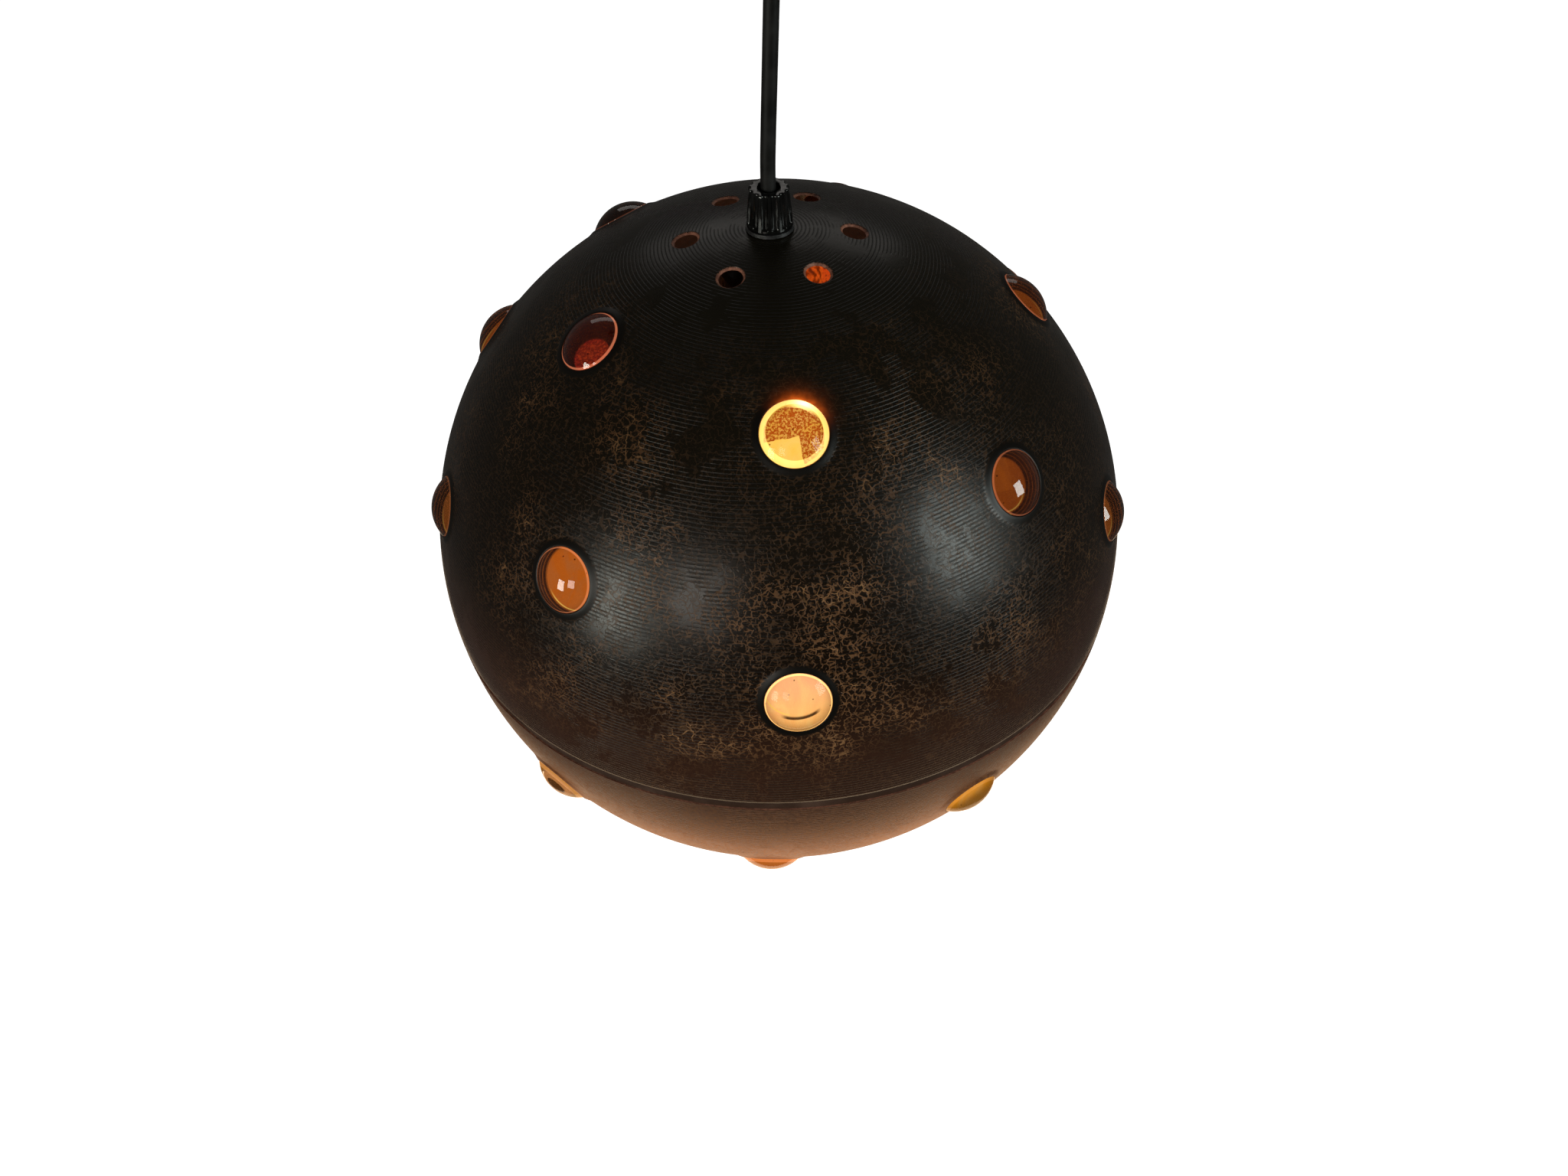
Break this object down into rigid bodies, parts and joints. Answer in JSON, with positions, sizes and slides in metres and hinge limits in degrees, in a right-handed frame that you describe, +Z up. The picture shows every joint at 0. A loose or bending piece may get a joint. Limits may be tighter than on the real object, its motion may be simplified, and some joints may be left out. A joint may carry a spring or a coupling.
{
  "type": "pendant lamp",
  "caption": "Ball pendant lamp of two spun metal shells set with domed glass buttons, open below, on a cord with a ceiling cup and hook.",
  "frame": {"origin": "on the hook's axis where its collar meets the ceiling; the lamp hangs below", "axes": "+Z up along the hook's shank, -Y the front that the picture shows, +X to its right"},
  "size_m": [0.3, 0.3006, 0.5056],
  "materials": {
    "painted_copper": "near-black crackled lacquer over copper sheet, bare at the edges",
    "amber_glass": "cast amber glass with small bubbles",
    "cement": "dry cement",
    "black_plastic": "moulded black plastic, fairly glossy",
    "cord_sheath": "smooth round black sheath",
    "wire": "brown insulation, bare copper ends",
    "zinc_steel": "zinc plated",
    "dark_steel": "oiled steel",
    "brass": "plain brass",
    "bakelite": "moulded phenolic",
    "porcelain": "glazed porcelain",
    "bulb_glass": "frosted, lit",
    "cap_metal": "pressed"
  },
  "bodies": {
    "hook": {"ceiling_hook": "zinc_steel"},
    "ring": {"hanging_ring": "zinc_steel"},
    "hanger": {"hanging_eye": "zinc_steel", "cord_clamp": "black_plastic", "clamp_screws": "zinc_steel", "wire_tails": "wire", "cord": "cord_sheath"},
    "cup": {"ceiling_cup": "black_plastic"},
    "cup_screw": {"thumb_screw": "black_plastic"},
    "ball": {"upper_shell": "painted_copper", "upper_cement": "cement", "grip_washer": "dark_steel", "threaded_tube": "brass", "inner_washer": "zinc_steel", "lock_nut": "zinc_steel", "holder_cap": "bakelite", "holder_body": "bakelite", "holder_insert": "porcelain", "screw_shell": "brass", "centre_contact": "brass", "contact_screws": "brass", "glass_a1": "amber_glass", "glass_a2": "amber_glass", "glass_a3": "amber_glass", "glass_a4": "amber_glass", "glass_a5": "amber_glass", "glass_b1": "amber_glass", "glass_b2": "amber_glass", "glass_b3": "amber_glass", "glass_b4": "amber_glass", "glass_b5": "amber_glass", "glass_c1": "amber_glass", "glass_c2": "amber_glass", "glass_c3": "amber_glass", "glass_c4": "amber_glass", "glass_c5": "amber_glass"},
    "grip": {"cord_grip": "black_plastic"},
    "lower_ball": {"lower_shell": "painted_copper", "lower_cement": "cement", "glass_d1": "amber_glass", "glass_d2": "amber_glass", "glass_d3": "amber_glass", "glass_d4": "amber_glass", "glass_d5": "amber_glass", "glass_e1": "amber_glass", "glass_e2": "amber_glass", "glass_e3": "amber_glass", "glass_e4": "amber_glass", "glass_e5": "amber_glass"},
    "bulb": {"bulb_glass": "bulb_glass", "bulb_cap": "cap_metal", "bulb_insulator": "black_plastic"}
  },
  "joints": [
    {"name": "swing_side", "type": "hinge", "parent": "hook", "child": "ring", "pos_m": [0, 0, -0.0325], "axis": [0, 1, 0], "range_deg": [-12, 12]},
    {"name": "swing_fore", "type": "hinge", "parent": "ring", "child": "hanger", "pos_m": [0, 0, -0.04995], "axis": [1, 0, 0], "range_deg": [-12, 12]},
    {"name": "cup_slide", "type": "slide", "parent": "hanger", "child": "cup", "axis": [-0.0465, 0, -0.9989], "range_m": [0, 0.088]},
    {"name": "thumb_turn", "type": "hinge", "parent": "cup", "child": "cup_screw", "pos_m": [0, 0, -0.095], "axis": [1, 0, 0], "range_deg": [0, 720]},
    {"name": "ball_turn", "type": "hinge", "parent": "hanger", "child": "ball", "pos_m": [-0.004, 0, -0.21], "axis": [0, 0, 1], "range_deg": [-180, 180]},
    {"name": "grip_turn", "type": "hinge", "parent": "ball", "child": "grip", "pos_m": [-0.004, 0, -0.205], "axis": [0, 0, 1], "range_deg": [0, 720]},
    {"name": "lower_lift", "type": "slide", "parent": "ball", "child": "lower_ball", "axis": [0, 0, -1], "range_m": [0, 0.05]},
    {"name": "bulb_out", "type": "slide", "parent": "ball", "child": "bulb", "axis": [0, 0, -1], "range_m": [0, 0.24]}
  ]
}
